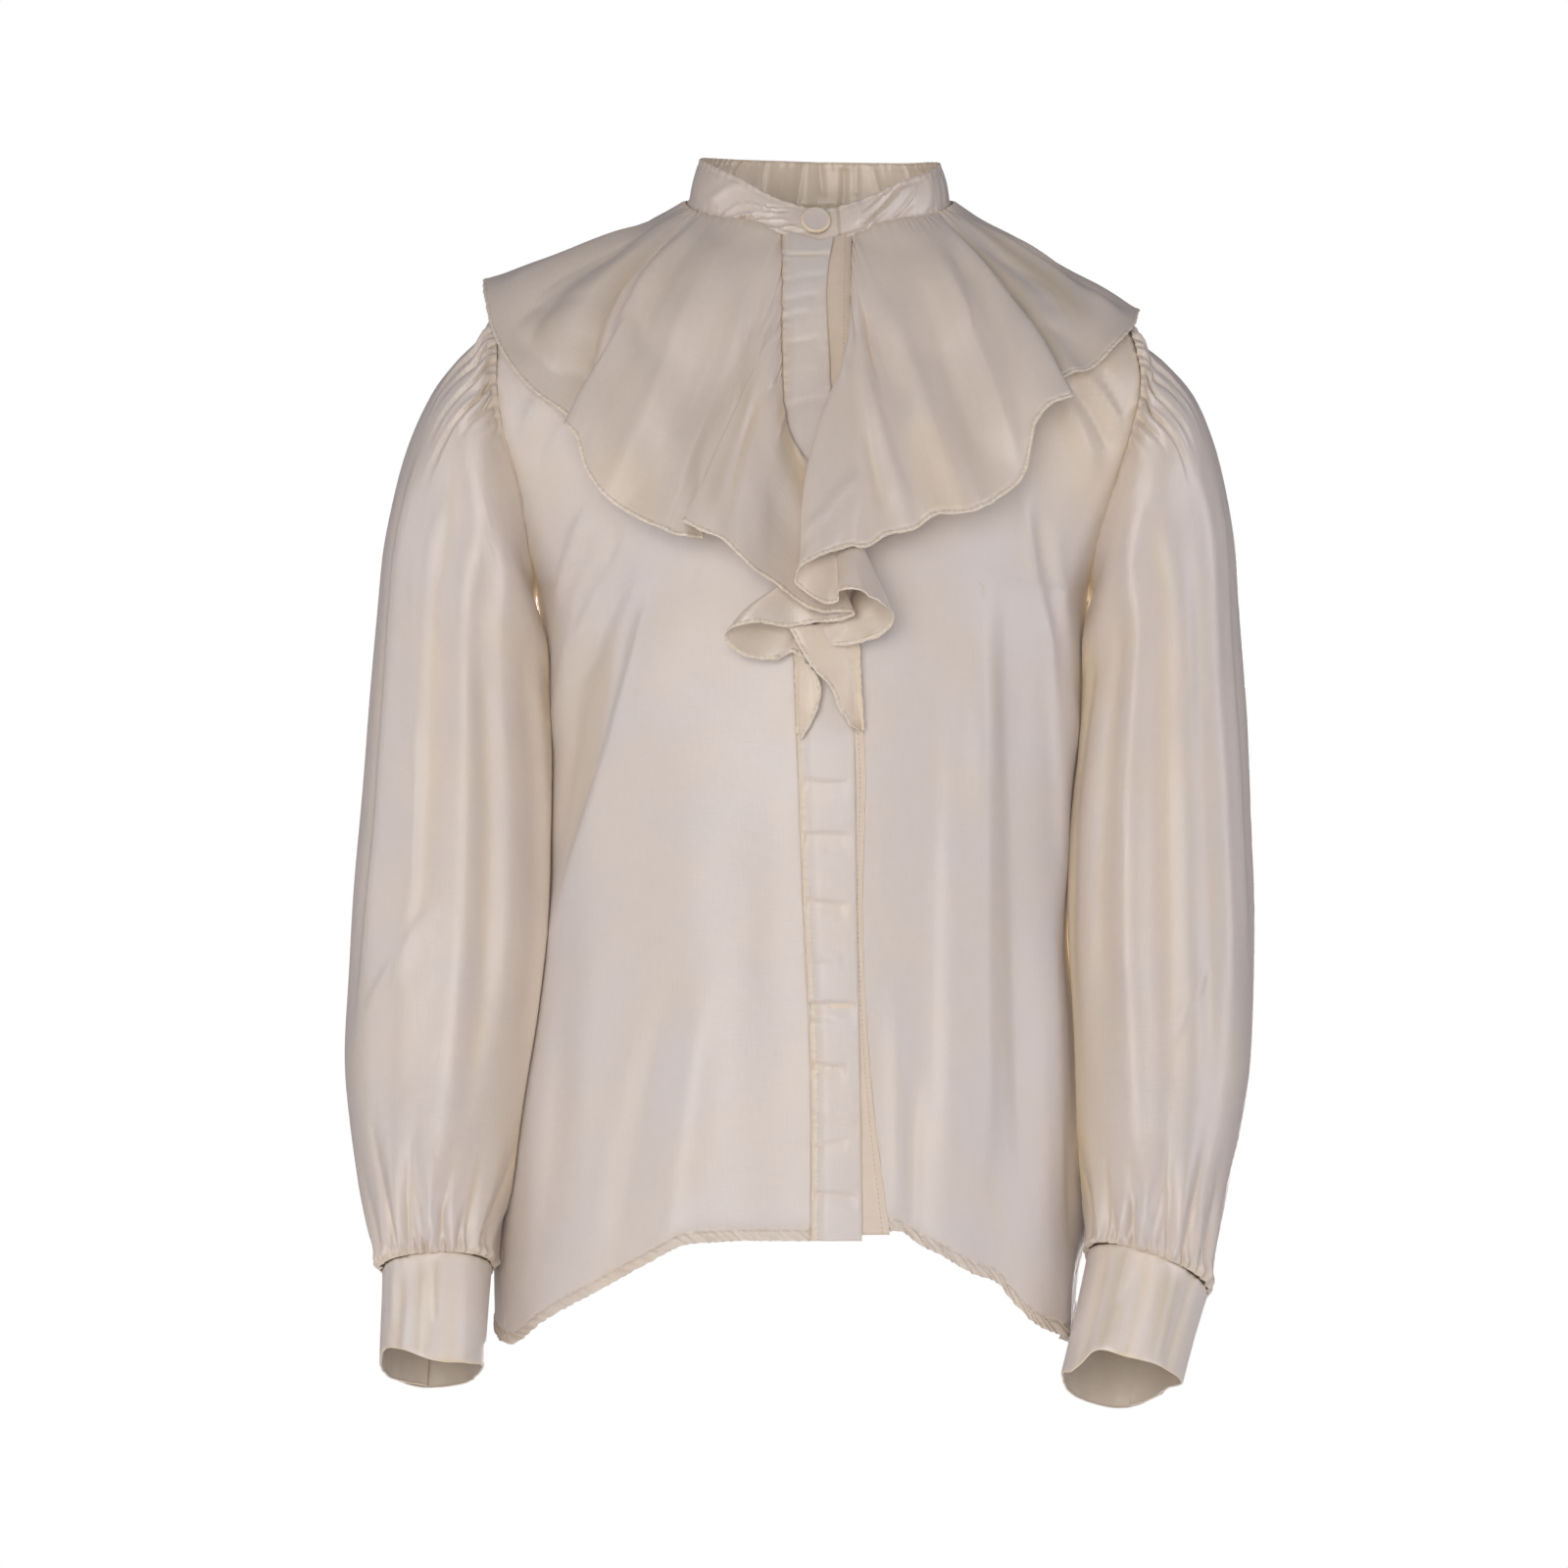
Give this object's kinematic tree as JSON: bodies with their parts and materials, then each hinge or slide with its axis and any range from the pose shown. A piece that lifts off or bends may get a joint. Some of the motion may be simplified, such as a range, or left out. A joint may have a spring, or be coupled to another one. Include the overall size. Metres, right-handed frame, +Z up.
{
  "type": "silk blouse",
  "caption": "Long-sleeved silk blouse with a stand collar, a cape ruffle that falls into a jabot, a concealed front closing, full sleeves and deep cuffs.",
  "frame": {"origin": "midway between the two neck points, where the shoulder seams meet the neck seam; the worn blouse hangs from the shoulders here", "axes": "+Z up, along the upright body; the wearer faces -Y; +X is the wearer's left"},
  "size_m": [0.5069, 0.2767, 0.6921],
  "materials": {
    "front_right": "soft satin silk",
    "front_left": "soft satin silk",
    "back": "soft satin silk",
    "placket": "soft satin silk",
    "button_band": "soft satin silk",
    "collar_band": "soft satin silk",
    "ruffle_right": "soft satin silk",
    "ruffle_left": "soft satin silk",
    "sleeve_right": "soft satin silk",
    "sleeve_left": "soft satin silk",
    "cuff_right": "soft satin silk",
    "cuff_left": "soft satin silk",
    "collar_button": "soft satin silk",
    "cuff_button_right": "soft satin silk",
    "cuff_button_left": "soft satin silk"
  },
  "bodies": {
    "root": {"front_right": "front_right", "front_left": "front_left", "back": "back", "placket": "placket", "button_band": "button_band", "collar_band": "collar_band", "ruffle_right": "ruffle_right", "ruffle_left": "ruffle_left", "sleeve_right": "sleeve_right", "sleeve_left": "sleeve_left", "cuff_right": "cuff_right", "cuff_left": "cuff_left", "collar_button": "collar_button", "cuff_button_right": "cuff_button_right", "cuff_button_left": "cuff_button_left"}
  },
  "joints": []
}
